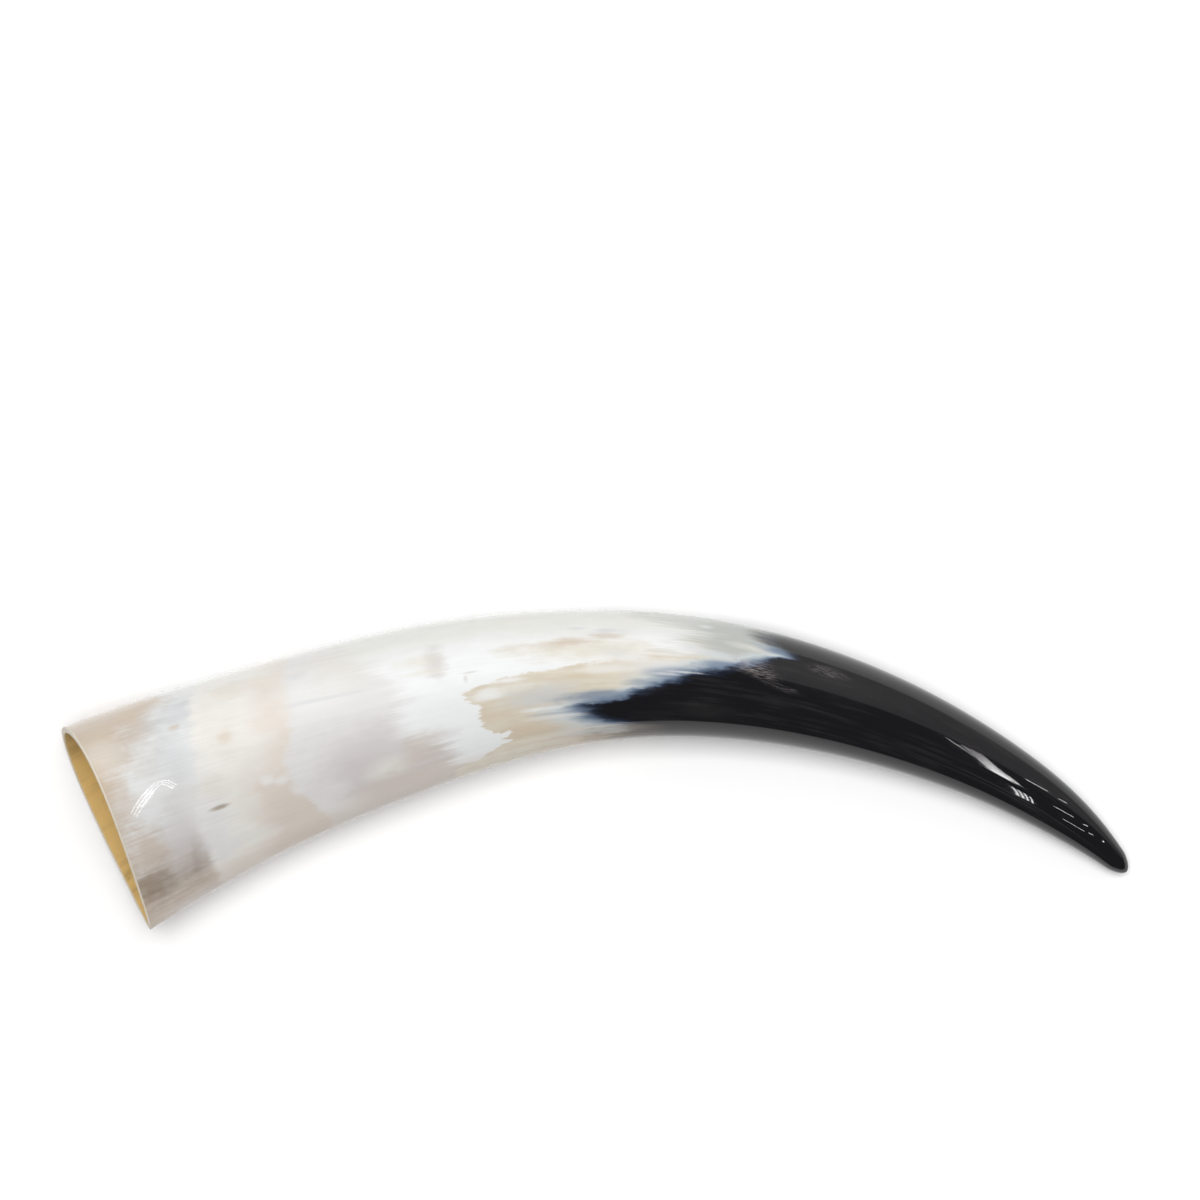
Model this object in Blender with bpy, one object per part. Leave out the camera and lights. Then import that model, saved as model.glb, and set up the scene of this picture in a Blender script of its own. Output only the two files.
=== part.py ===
"""A polished cow horn, lying on its side as it rests on a table.

The horn is one grown piece. Its outer skin is a cylinder drawn out along a curved axis, the
hollow of the bony core is a second, shorter one cut out of it, and a saw cut trims the base.
Metres, +Z up, origin on the table below the middle of the horn's bounding box.
"""

import math

import bmesh
import bpy
import numpy as np
from mathutils import Matrix, Vector

# Length along the axis, from the middle of the sawn base to the tip
HORN_LENGTH = 0.4385
# The horn runs on past the base by this much before the saw cut
SAW_ALLOWANCE = 0.030

# Each curve below is a list of (share of the horn's length, value)
# Compass heading of the axis seen from above, in degrees from +X towards +Y
HEADING = (
    (0.00, 28.0),
    (0.07, 23.8),
    (0.14, 21.2),
    (0.30, 15.8),
    (0.45, 5.2),
    (0.60, -9.4),
    (0.75, -21.3),
    (0.90, -33.9),
    (1.00, -47.0),
)
# Half the width seen from above
HALF_WIDTH = (
    (0.00, 0.0438),
    (0.08, 0.0405),
    (0.15, 0.0371),
    (0.20, 0.0354),
    (0.30, 0.0325),
    (0.45, 0.0269),
    (0.60, 0.0230),
    (0.75, 0.0179),
    (0.85, 0.0135),
    (0.93, 0.0096),
    (1.00, 0.0037),
)
# Half the height over half the width: oval at the base, nearly round at the tip
FLATNESS = ((0.00, 0.84), (0.20, 0.88), (0.45, 0.93), (0.75, 0.96), (1.00, 0.97))
# How much more of the height lies above the widest line than below it
DOME = ((0.00, 0.26), (0.20, 0.13), (0.45, 0.00), (1.00, 0.00))
# How much deeper the outer side of the bend is than the inner side
PEAR = ((0.00, 0.54), (0.20, 0.35), (0.45, 0.15), (0.70, 0.05), (1.00, 0.00))
# Gap under the horn
LIFT = ((0.00, 0.0030), (0.10, 0.0006), (0.20, 0.0), (0.80, 0.0), (1.00, 0.0016))
# Thickness of the wall round the hollow
WALL = ((0.00, 0.0028), (0.15, 0.0032), (0.30, 0.0045), (0.45, 0.0078), (0.60, 0.0140))

TIP_ROUNDING = 0.0075
HOLLOW_LENGTH = 0.268
HOLLOW_ROUNDING = 0.016

# A pear section is taller than an oval one by this much times its pear value squared
PEAR_RISE = 0.43

# Faint rings left by the yearly growth, strongest near the base
RING_DEPTH = 0.00035
RING_SPACING = 0.027
RING_REACH = 0.50

# The saw cut: which way it faces seen from above, and how far it leans up
CUT_HEADING = 23.6
CUT_LEAN = 14.0
SAW_BLOCK = 0.30

OUTER_RINGS = 62
OUTER_SIDES = 36
HOLLOW_RINGS = 34
HOLLOW_SIDES = 30
AXIS_STEPS = 500
WELD = 1e-5

HORN_COLOUR = (0.74, 0.70, 0.62, 1.0)
HORN_ROUGHNESS = 0.18


def along_curve(knots, share):
    """Smooth curve through the knots, carried on straight beyond either end."""
    places, values = np.array(knots, float).T
    slopes = np.gradient(values, places)
    share = np.asarray(share, float)
    piece = np.clip(np.searchsorted(places, share) - 1, 0, len(places) - 2)
    step = places[piece + 1] - places[piece]
    t = np.clip((share - places[piece]) / step, 0.0, 1.0)
    start = (1 + 2 * t) * (1 - t) ** 2 * values[piece]
    leave = t * (1 - t) ** 2 * step * slopes[piece]
    end = t * t * (3 - 2 * t) * values[piece + 1]
    arrive = t * t * (t - 1) * step * slopes[piece + 1]
    before = slopes[0] * np.minimum(share - places[0], 0.0)
    after = slopes[-1] * np.maximum(share - places[-1], 0.0)
    return start + leave + end + arrive + before + after


def half_height(share):
    return along_curve(HALF_WIDTH, share) * along_curve(FLATNESS, share)


def trace_axis():
    """Distances along the axis, and its points and headings there."""
    distance = np.linspace(-SAW_ALLOWANCE * 2, HORN_LENGTH, AXIS_STEPS)
    share = distance / HORN_LENGTH
    heading = np.radians(along_curve(HEADING, share))
    height = half_height(share) * (1 - along_curve(DOME, share)) + along_curve(LIFT, share)
    step = np.diff(distance, prepend=distance[0])
    x = np.cumsum(np.cos(heading) * step)
    y = np.cumsum(np.sin(heading) * step)
    pitch = np.arctan(np.gradient(height, distance))
    return distance, np.column_stack((x, y, height)), heading, pitch


AXIS = trace_axis()


def axis_frame(distance):
    """The axis point, and the directions towards the outer side, up and the tip."""
    places, points, headings, pitches = AXIS
    point = Vector([np.interp(distance, places, points[:, k]) for k in range(3)])
    heading = float(np.interp(distance, places, headings))
    pitch = float(np.interp(distance, places, pitches))
    outward = Vector((-math.sin(heading), math.cos(heading), 0.0))
    forward = Vector((math.cos(heading), math.sin(heading), 0.0))
    ahead = forward * math.cos(pitch) + Vector((0.0, 0.0, math.sin(pitch)))
    return point, outward, ahead.cross(outward), ahead


def growth_rings(distance):
    fade = max(0.0, 1.0 - distance / (HORN_LENGTH * RING_REACH))
    return RING_DEPTH * fade * math.sin(2 * math.pi * distance / RING_SPACING)


def rounding(distance, end, nose):
    """1 along the shaft, falling to 0 as a round nose at the end."""
    into_nose = min(max((distance - end + nose) / nose, 0.0), 1.0)
    return math.sqrt(1.0 - into_nose**2)


def skin_point(distance, outer, up, inset, close):
    """The point of a section in the direction (outer, up), set in from the horn's skin."""
    share = distance / HORN_LENGTH
    pear = float(along_curve(PEAR, share))
    swell = (1 + pear * outer) / (1 + PEAR_RISE * pear**2)
    width = float(along_curve(HALF_WIDTH, share))
    dome = math.copysign(float(along_curve(DOME, share)), up)
    height = float(half_height(share)) * (1 + dome) * swell
    grown = growth_rings(distance) if inset == 0 else 0.0
    point, outward, upward, _ = axis_frame(distance)
    across = (width - inset + grown) * close * outer
    above = (height - inset + grown) * close * up
    return point + outward * across + upward * above


def drawn_cylinder(name, end, nose, rings, sides, inset):
    """A cylinder drawn along the axis, from the saw allowance to a round nose at the end."""
    mesh = bpy.data.meshes.new(name)
    shape = bmesh.new()
    bmesh.ops.create_cone(
        shape, cap_ends=True, segments=sides, radius1=1.0, radius2=1.0, depth=1.0
    )
    lengthwise = [edge for edge in shape.edges if abs(edge.calc_length() - 1.0) < WELD
                  and abs(edge.verts[0].co.z - edge.verts[1].co.z) > 0.5]
    bmesh.ops.subdivide_edges(shape, edges=lengthwise, cuts=rings)
    for vertex in shape.verts:
        # Rings crowd towards the nose, where the skin turns in
        share = math.sin((vertex.co.z + 0.5) * math.pi / 2) ** 0.9
        distance = -SAW_ALLOWANCE + share * (end + SAW_ALLOWANCE)
        close = rounding(distance, end, nose)
        vertex.co = skin_point(distance, vertex.co.x, vertex.co.y, inset(distance), close)
    bmesh.ops.remove_doubles(shape, verts=shape.verts, dist=WELD)
    bmesh.ops.recalc_face_normals(shape, faces=shape.faces)
    shape.to_mesh(mesh)
    shape.free()
    return bpy.data.objects.new(name, mesh)


def no_inset(_distance):
    return 0.0


def wall_thickness(distance):
    return float(along_curve(WALL, distance / HORN_LENGTH))


def saw_block():
    """A block whose face is the plane of the saw cut through the axis's start."""
    mesh = bpy.data.meshes.new("saw_block")
    shape = bmesh.new()
    bmesh.ops.create_cube(shape, size=SAW_BLOCK)
    bmesh.ops.translate(shape, verts=shape.verts, vec=(-SAW_BLOCK / 2, 0.0, 0.0))
    shape.to_mesh(mesh)
    shape.free()
    block = bpy.data.objects.new("saw_block", mesh)
    turn = Matrix.Rotation(math.radians(CUT_HEADING), 4, "Z")
    lean = Matrix.Rotation(math.radians(CUT_LEAN), 4, "Y")
    block.matrix_world = Matrix.Translation(axis_frame(0.0)[0]) @ turn @ lean
    return block


def cut(body, cutter):
    modifier = body.modifiers.new(cutter.name, "BOOLEAN")
    modifier.operation = "DIFFERENCE"
    modifier.solver = "EXACT"
    modifier.object = cutter
    cutter.hide_render = True
    cutter.display_type = "WIRE"


def horn_material():
    material = bpy.data.materials.new("polished_horn")
    material.use_nodes = True
    shader = material.node_tree.nodes["Principled BSDF"]
    shader.inputs["Base Color"].default_value = HORN_COLOUR
    shader.inputs["Roughness"].default_value = HORN_ROUGHNESS
    shader.inputs["Metallic"].default_value = 0.0
    return material


def new_collection(name):
    collection = bpy.data.collections.new(name)
    bpy.context.scene.collection.children.link(collection)
    return collection


def centre_on_table(body, helpers):
    """Moves everything so the finished horn's box stands centred over the origin."""
    bpy.context.view_layer.update()
    graph = bpy.context.evaluated_depsgraph_get()
    finished = body.evaluated_get(graph)
    corners = np.array([finished.matrix_world @ Vector(c) for c in finished.bound_box])
    low, high = corners.min(axis=0), corners.max(axis=0)
    shift = -Vector(((low[0] + high[0]) / 2, (low[1] + high[1]) / 2, low[2]))
    for thing in [body, *helpers]:
        thing.matrix_world = Matrix.Translation(shift) @ thing.matrix_world


def build_horn():
    for old in list(bpy.data.objects):
        bpy.data.objects.remove(old)
    horn = drawn_cylinder("horn", HORN_LENGTH, TIP_ROUNDING, OUTER_RINGS, OUTER_SIDES, no_inset)
    hollow = drawn_cylinder(
        "core_hollow", HOLLOW_LENGTH, HOLLOW_ROUNDING, HOLLOW_RINGS, HOLLOW_SIDES, wall_thickness
    )
    block = saw_block()
    horn.data.materials.append(horn_material())
    new_collection("cow_horn").objects.link(horn)
    cutters = new_collection("cutters")
    for cutter in (hollow, block):
        cutters.objects.link(cutter)
        cut(horn, cutter)
    centre_on_table(horn, (hollow, block))
    horn.data.shade_smooth()


build_horn()
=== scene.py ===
"""A polished cow horn lying on its side: milky growth bands, a sawn hollow base, a black tip.

Metres, +Z up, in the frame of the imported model.
"""

import math
from typing import NamedTuple

import bmesh
import bpy
import numpy as np
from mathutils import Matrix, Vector, noise


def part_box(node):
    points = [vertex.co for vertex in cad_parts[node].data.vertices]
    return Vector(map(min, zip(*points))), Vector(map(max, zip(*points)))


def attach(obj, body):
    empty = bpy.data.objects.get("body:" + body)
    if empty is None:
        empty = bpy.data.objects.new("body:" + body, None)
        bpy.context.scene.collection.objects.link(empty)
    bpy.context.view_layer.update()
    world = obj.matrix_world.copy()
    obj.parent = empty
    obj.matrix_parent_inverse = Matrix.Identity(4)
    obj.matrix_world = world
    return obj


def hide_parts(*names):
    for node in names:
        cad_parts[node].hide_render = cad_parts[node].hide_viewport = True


bl_info = {
    "name": "Polished Cow Horn",
    "version": (1, 0, 0),
    "blender": (4, 5, 0),
    "location": "View3D > Sidebar > Cow Horn",
    "description": "Grows a polished cow horn with a sawn base, an open hollow and a black tip",
    "category": "Add Mesh",
}

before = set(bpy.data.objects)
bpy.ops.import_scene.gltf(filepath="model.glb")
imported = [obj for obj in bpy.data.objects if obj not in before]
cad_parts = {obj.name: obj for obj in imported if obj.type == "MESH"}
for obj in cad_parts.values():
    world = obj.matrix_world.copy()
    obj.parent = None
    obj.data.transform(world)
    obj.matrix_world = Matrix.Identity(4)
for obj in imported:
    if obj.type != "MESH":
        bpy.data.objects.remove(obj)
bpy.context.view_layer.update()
HORN_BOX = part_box("horn")

# Length along the axis, from the middle of the sawn base to the tip
HORN_LENGTH = 0.4385
# The axis is traced from here, behind the base
AXIS_START = -0.060

# Each curve below is a list of (share of the horn's length, value)
# Compass heading of the axis seen from above, in degrees from +X towards +Y
HEADING = (
    (0.00, 28.0),
    (0.07, 23.8),
    (0.14, 21.2),
    (0.30, 15.8),
    (0.45, 5.2),
    (0.60, -9.4),
    (0.75, -21.3),
    (0.90, -33.9),
    (1.00, -47.0),
)
# Half the width seen from above
HALF_WIDTH = (
    (0.00, 0.0438),
    (0.08, 0.0405),
    (0.15, 0.0371),
    (0.20, 0.0354),
    (0.30, 0.0325),
    (0.45, 0.0269),
    (0.60, 0.0230),
    (0.75, 0.0179),
    (0.85, 0.0135),
    (0.93, 0.0096),
    (1.00, 0.0037),
)
# Half the height over half the width: oval at the base, nearly round at the tip
FLATNESS = ((0.00, 0.84), (0.20, 0.88), (0.45, 0.93), (0.75, 0.96), (1.00, 0.97))
# How much more of the height lies above the widest line than below it
DOME = (
    (0.00, 0.260),
    (0.20, 0.130),
    (0.35, 0.045),
    (0.45, 0.014),
    (0.55, 0.024),
    (0.63, 0.028),
    (0.80, 0.017),
    (1.00, 0.000),
)
# How much deeper the outer side of the bend is than the inner side
PEAR = ((0.00, 0.54), (0.20, 0.35), (0.45, 0.15), (0.70, 0.05), (1.00, 0.00))
# Gap under the horn
LIFT = ((0.00, 0.0030), (0.10, 0.0006), (0.20, 0.0), (0.80, 0.0), (1.00, 0.0016))
# Thickness of the wall round the hollow
WALL = ((0.00, 0.0028), (0.15, 0.0032), (0.30, 0.0045), (0.45, 0.0078), (0.60, 0.0140))

# The round noses at the tip and at the deep end of the hollow
TIP_ROUNDING = 0.0075
HOLLOW_LENGTH = 0.268
HOLLOW_ROUNDING = 0.016
# A pear section is taller than an oval one by this much times its pear value squared
PEAR_RISE = 0.43

# Faint rings left by the yearly growth, strongest near the base
RING_SPACING = 0.027
RING_REACH = 0.060
# The first ring starts this far from the base
RING_SHIFT = 0.004

# The saw cut: which way it faces seen from above, and how far it leans up
CUT_HEADING = 23.6
CUT_LEAN = 14.0

# Mesh of the horn's skin: rings at the tip, along the shaft, round the rim and in the hollow
TIP_RINGS = 18
SHAFT_RINGS = 268
CORNER_RINGS = 5
RIM_RINGS = 4
HOLLOW_RINGS = 118
NOSE_RINGS = 14
AXIS_STEPS = 500
# The curves are smoothed over this share of the length
FAIR_STEPS = 2001
FAIR_REACH = 0.025
# Points closer than this are one
WELD = 1e-6
# Where along the axis the saw's plane is looked for, and how often that span is halved
SAW_SEARCH = (-0.055, 0.060)
SAW_HALVINGS = 40
# The grain's pattern is drawn for no nose narrower than this share of the shaft
NARROWEST = 0.01
# The ridges of the hollow rise from nothing over this distance from the rim
RIDGE_FADE = 0.010

# The grain winds slowly round the horn over this length, in radians a metre
GRAIN_TWIST = 2.7
TWIST_LENGTH = 0.200
# Radius at which the grain's width is true
GRAIN_RADIUS = 0.035

# Swells and flutes of the skin and ridges of the hollow: (length, width) of one, in metres
SWELL_SIZE = (0.045, 0.020)
FLUTE_SIZE = (0.120, 0.006)
RIDGE_SIZE = (0.030, 0.0035)
# How much the long flutes add to the swells
FLUTE_SHARE = 0.10

# The piece's materials, in their order
OUTSIDE, RIM, HOLLOW = range(3)


def srgb(red, green, blue):
    """Linear colour of a pigment given as it looks, 0 to 255."""
    shades = np.array((red, green, blue)) / 255
    linear = np.where(shades <= 0.04045, shades / 12.92, ((shades + 0.055) / 1.055) ** 2.4)
    return tuple(float(shade) for shade in linear)


def pigment(label, about, look):
    return bpy.props.FloatVectorProperty(
        name=label, description=about, subtype="COLOR", size=3, min=0, max=1, default=srgb(*look)
    )


def length(label, about, metres):
    return bpy.props.FloatProperty(
        name=label, description=about, default=metres, min=0, unit="LENGTH", precision=5
    )


def brightness(label, about, value):
    return bpy.props.FloatProperty(name=label, description=about, default=value, min=0)


class HornSizes(bpy.types.PropertyGroup):
    """Sizes of the horn's fine form."""

    sides: bpy.props.IntProperty(
        name="Sides", description="Faces round the horn", default=180, min=24, max=240
    )
    skin_inset: length("Polish allowance", "How far the skin lies inside the model", 0.0002)
    saw_inset: length("Saw allowance", "How far the rim lies inside the model", 0.0001)
    rim_rounding: length("Rim rounding", "Size of the rounded edges of the sawn rim", 0.00055)
    ring_depth: length("Growth ring depth", "Height of the growth rings on the skin", 0.00016)
    swell_depth: length("Swell depth", "Depth of the skin's slow unevenness", 0.00005)
    ridge_depth: length("Hollow ridge depth", "Depth of the ridges inside the hollow", 0.00045)


class HornColours(bpy.types.PropertyGroup):
    """Colours of the horn, from the base to the tip."""

    beige: pigment("Base beige", "Thin horn beside the sawn rim", (193, 177, 158))
    blush: pigment("Blush", "Pinkish smudges", (194, 180, 167))
    tan: pigment("Tan", "Warm stains", (198, 178, 152))
    taupe: pigment("Taupe", "Dull brown stains", (158, 144, 130))
    brown: pigment("Brown", "Darkest stains of the base", (134, 117, 98))
    cool: pigment("Cool grey", "Bluish grey smudges", (190, 193, 196))
    lilac: pigment("Lilac grey", "Shadowy patches", (192, 184, 182))
    grey_milk: pigment("Grey milk", "Bluish band after the base", (215, 216, 215))
    warm_white: pigment("Warm white", "First pale band", (223, 221, 215))
    peach: pigment("Peach", "Flush before the second band", (214, 204, 194))
    cold_white: pigment("Cold white", "Second pale band", (217, 216, 216))
    cloud: pigment("Cloud white", "Opaque milky cloud", (228, 229, 229))
    ivory: pigment("Ivory", "Off-white of the outer side", (218, 218, 213))
    cream: pigment("Cream", "Clear window after the cloud", (212, 206, 191))
    smoke: pigment("Smoke", "Smoky grey before the tip", (176, 178, 173))
    veil: pigment("Veil", "Thin milk over the dark core", (196, 204, 207))
    steel: pigment("Steel blue", "Thinner milk over the dark core", (112, 128, 148))
    navy: pigment("Navy", "Last of the milk over the dark core", (36, 44, 62))
    slate: pigment("Slate", "Milk over the dark core, outer side", (96, 99, 98))
    umber: pigment("Umber", "Milk over the dark core, inner side", (92, 80, 65))
    black: pigment("Black", "The tip", (16, 16, 19))
    ash: pigment("Ash", "Fine scratches in the black", (150, 141, 141))
    hollow: pigment("Hollow ochre", "Wall of the hollow", (212, 178, 114))
    rim: pigment("Rim cream", "Sawn rim", (216, 206, 188))


class StudioSettings(bpy.types.PropertyGroup):
    """Light, floor and camera."""

    floor_colour: pigment("Floor", "The plain floor", (247, 247, 247))
    near_room: brightness("Near room", "Brightness of the near half of the room", 0.11)
    far_room: brightness("Far room", "Brightness of the far half of the room", 0.45)
    soft_light: bpy.props.FloatProperty(
        name="Soft light", description="Power of the big soft light",
        default=93.0, min=0, unit="POWER"
    )
    tube_glow: brightness("Tube glow", "Brightness of the lamp tubes", 25.0)
    camera_height: length("Camera height", "Height of the camera above the floor", 1.5)
    focal_length: bpy.props.FloatProperty(
        name="Focal length", description="Focal length of the camera in millimetres",
        default=111.42, min=1, unit="CAMERA"
    )


def along_curve(knots, share):
    """Smooth curve through the knots, carried on straight beyond either end."""
    places, values = np.array(knots, float).T
    slopes = np.gradient(values, places)
    share = np.asarray(share, float)
    piece = np.clip(np.searchsorted(places, share) - 1, 0, len(places) - 2)
    step = places[piece + 1] - places[piece]
    t = np.clip((share - places[piece]) / step, 0.0, 1.0)
    start = (1 + 2 * t) * (1 - t) ** 2 * values[piece]
    leave = t * (1 - t) ** 2 * step * slopes[piece]
    end = t * t * (3 - 2 * t) * values[piece + 1]
    arrive = t * t * (t - 1) * step * slopes[piece + 1]
    before = slopes[0] * np.minimum(share - places[0], 0.0)
    after = slopes[-1] * np.maximum(share - places[-1], 0.0)
    return start + leave + end + arrive + before + after


def faired(knots):
    """A curve with its bends smoothed, so that the polish shows no kink, as (shares, values)."""
    shares = np.linspace(-0.5, 1.5, FAIR_STEPS)
    spread = np.exp(-0.5 * ((shares - 0.5) / FAIR_REACH) ** 2)
    values = np.convolve(along_curve(knots, shares), spread / spread.sum(), mode="same")
    return shares, values


def read_curve(name, share):
    return np.interp(share, *CURVES[name])


def half_height(share):
    return read_curve("half_width", share) * read_curve("flatness", share)


def trace_axis():
    """Distances along the axis, and its points, headings and pitches there."""
    distance = np.linspace(AXIS_START, HORN_LENGTH, AXIS_STEPS)
    share = distance / HORN_LENGTH
    heading = np.radians(read_curve("heading", share))
    height = half_height(share) * (1 - read_curve("dome", share)) + read_curve("lift", share)
    step = np.diff(distance, prepend=distance[0])
    x = np.cumsum(np.cos(heading) * step)
    y = np.cumsum(np.sin(heading) * step)
    pitch = np.arctan(np.gradient(height, distance))
    return distance, np.column_stack((x, y, height)), heading, pitch


CURVES = {
    "heading": faired(HEADING),
    "half_width": faired(HALF_WIDTH),
    "flatness": faired(FLATNESS),
    "dome": faired(DOME),
    "pear": faired(PEAR),
    "lift": faired(LIFT),
    "wall": faired(WALL),
}
AXIS = trace_axis()


def axis_frame(distance):
    """Axis points, and the directions towards the outer side and up, a row for each distance."""
    places, points, headings, pitches = AXIS
    point = np.column_stack([np.interp(distance, places, points[:, k]) for k in range(3)])
    heading = np.interp(distance, places, headings)
    pitch = np.interp(distance, places, pitches)
    flat = np.zeros_like(heading)
    outward = np.column_stack((-np.sin(heading), np.cos(heading), flat))
    forward = np.column_stack((np.cos(heading), np.sin(heading), flat))
    ahead = forward * np.cos(pitch)[:, None] + np.column_stack((flat, flat, np.sin(pitch)))
    return point, outward, np.cross(ahead, outward)


def growth_rings(distance, depth):
    fade = np.exp(-np.maximum(distance, 0.0) / RING_REACH)
    return depth * fade * np.sin(2 * math.pi * (distance - RING_SHIFT) / RING_SPACING)


def skin_points(distance, turn, inset, close):
    """Points of the sections at these distances and angles, set in from the horn's skin."""
    outer = np.cos(turn)
    up = np.sin(turn)
    share = distance / HORN_LENGTH
    pear = read_curve("pear", share)
    swell = (1 + pear * outer) / (1 + PEAR_RISE * pear**2)
    dome = np.where(up < 0, -1, 1) * read_curve("dome", share)
    height = half_height(share) * (1 + dome) * swell
    point, outward, upward = axis_frame(distance)
    across = (read_curve("half_width", share) - inset) * close * outer
    above = (height - inset) * close * up
    return point + outward * across[:, None] + upward * above[:, None]


def wall_thickness(distance):
    return read_curve("wall", distance / HORN_LENGTH)


def saw_start(turn, inset, saw_inset):
    """Distance at which each lengthwise line of the skin meets the plane of the saw cut."""
    heading = math.radians(CUT_HEADING)
    lean = math.radians(CUT_LEAN)
    facing = -np.array(
        (math.cos(heading) * math.cos(lean), math.sin(heading) * math.cos(lean), -math.sin(lean))
    )
    middle = axis_frame(np.zeros(1))[0][0] - facing * saw_inset
    near = np.full(len(turn), SAW_SEARCH[0])
    far = np.full(len(turn), SAW_SEARCH[1])
    for _ in range(SAW_HALVINGS):
        half = (near + far) / 2
        beyond = (skin_points(half, turn, inset(half), 1.0) - middle) @ facing > 0
        near = np.where(beyond, half, near)
        far = np.where(beyond, far, half)
    return (near + far) / 2


def grain_place(distance, turn, close):
    """The skin unrolled along its own grain, as points on a rod of one thickness."""
    wound = turn - GRAIN_TWIST * TWIST_LENGTH * np.tanh(distance / TWIST_LENGTH)
    radius = GRAIN_RADIUS * close
    return np.column_stack((distance, radius * np.cos(wound), radius * np.sin(wound)))


def unevenness(places, size):
    """Smooth noise from 0 to 1, stretched to the given length and width."""
    stretch = np.array((1 / size[0], 1 / size[1], 1 / size[1]))
    return np.array([0.5 + 0.5 * noise.noise(Vector(place)) for place in places * stretch])


def nose_steps(rings):
    """Shares of a round nose's length and width, from its pole to its shoulder."""
    swing = np.linspace(math.pi / 2, 0.0, rings)
    return np.sin(swing), np.cos(swing)


class Ring(NamedTuple):
    """One ring of the skin: where each of its points lies, and how the finish reads them."""

    points: np.ndarray
    distance: np.ndarray
    close: float
    wall: float


def outer_rings(sizes, turn):
    """Rings of the outer skin, from the tip to just before the saw cut."""
    start = saw_start(turn, lambda place: sizes.skin_inset, sizes.saw_inset)
    shoulder = HORN_LENGTH - TIP_ROUNDING
    shaft = np.linspace(0.0, 1.0, SHAFT_RINGS + 1)[1:]
    first = start + sizes.rim_rounding
    rings = []
    for reach, close in zip(*nose_steps(TIP_RINGS)):
        rings.append((np.full(len(turn), shoulder + TIP_ROUNDING * reach), close))
    for share in shaft:
        rings.append((shoulder + (first - shoulder) * share, 1.0))
    made = []
    for distance, close in rings:
        grain = grain_place(distance, turn, max(close, NARROWEST))
        waves = unevenness(grain, SWELL_SIZE) + FLUTE_SHARE * unevenness(grain, FLUTE_SIZE)
        sunk = sizes.skin_inset + sizes.swell_depth * waves * close
        sunk = sunk - growth_rings(distance, sizes.ring_depth)
        made.append(Ring(skin_points(distance, turn, sunk, close), distance, close, 0.0))
    return made


def hollow_rings(sizes, turn):
    """Rings of the hollow, from just inside the saw cut to its deep end."""
    start = saw_start(turn, wall_thickness, sizes.saw_inset)
    shoulder = HOLLOW_LENGTH - HOLLOW_ROUNDING
    first = start + sizes.rim_rounding
    shaft = np.linspace(0, 1, HOLLOW_RINGS)
    rings = [(first + (shoulder - first) * share, 1.0) for share in shaft]
    reach, width = nose_steps(NOSE_RINGS)
    for step, close in zip(reach[-2::-1], width[-2::-1]):
        rings.append((np.full(len(turn), shoulder + HOLLOW_ROUNDING * step), close))
    made = []
    for distance, close in rings:
        grain = grain_place(distance, turn, max(close, NARROWEST))
        ridges = unevenness(grain, RIDGE_SIZE) + unevenness(grain, SWELL_SIZE) - 1.0
        fade = np.clip((distance - first) / RIDGE_FADE, 0.0, 1.0)
        thick = wall_thickness(distance) + sizes.ridge_depth * ridges * fade
        made.append(Ring(skin_points(distance, turn, thick, close), distance, close, 1.0))
    return made


def rounded_corner(before, corner, after):
    """Points of a corner rounded off between the points before and after it."""
    steps = np.linspace(0.0, 1.0, CORNER_RINGS + 2)[1:-1]
    return [before * (1 - t) ** 2 + corner * 2 * t * (1 - t) + after * t**2 for t in steps]


def rim_rings(sizes, turn, outer, inner):
    """Rings of the sawn rim, with its two edges rounded off."""
    skin_start = saw_start(turn, lambda place: sizes.skin_inset, sizes.saw_inset)
    wall_start = saw_start(turn, wall_thickness, sizes.saw_inset)
    sunk = sizes.skin_inset + sizes.swell_depth * 0.5
    sunk = sunk - growth_rings(skin_start, sizes.ring_depth)
    outer_edge = skin_points(skin_start, turn, sunk, 1.0)
    inner_edge = skin_points(wall_start, turn, wall_thickness(wall_start), 1.0)
    across = inner_edge - outer_edge
    share = sizes.rim_rounding / np.linalg.norm(across, axis=1)[:, None]
    steps = np.linspace(0, 1, RIM_RINGS)
    flat = [outer_edge + across * (share + (1 - 2 * share) * step) for step in steps]
    points = [
        *rounded_corner(outer.points, outer_edge, flat[0]),
        *flat,
        *rounded_corner(flat[-1], inner_edge, inner.points),
    ]
    walls = np.linspace(0.0, 1.0, len(points) + 2)[1:-1]
    return [
        Ring(point, skin_start + (wall_start - skin_start) * wall, 1.0, wall)
        for point, wall in zip(points, walls)
    ]


def horn_rings(sizes, turn):
    """All rings, from the tip back over the outside, round the rim and into the hollow."""
    outer = outer_rings(sizes, turn)
    inner = hollow_rings(sizes, turn)
    return [*outer, *rim_rings(sizes, turn, outer[-1], inner[0]), *inner], len(outer), len(inner)


def place_shift(points, skin_inset):
    """How far the rings move to stand in the middle of the model's box, just above its floor."""
    low, high = points.min(axis=0), points.max(axis=0)
    box_low, box_high = (np.array(corner) for corner in HORN_BOX)
    shift = (box_low + box_high) / 2 - (low + high) / 2
    shift[2] = box_low[2] + skin_inset - low[2]
    return shift


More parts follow.
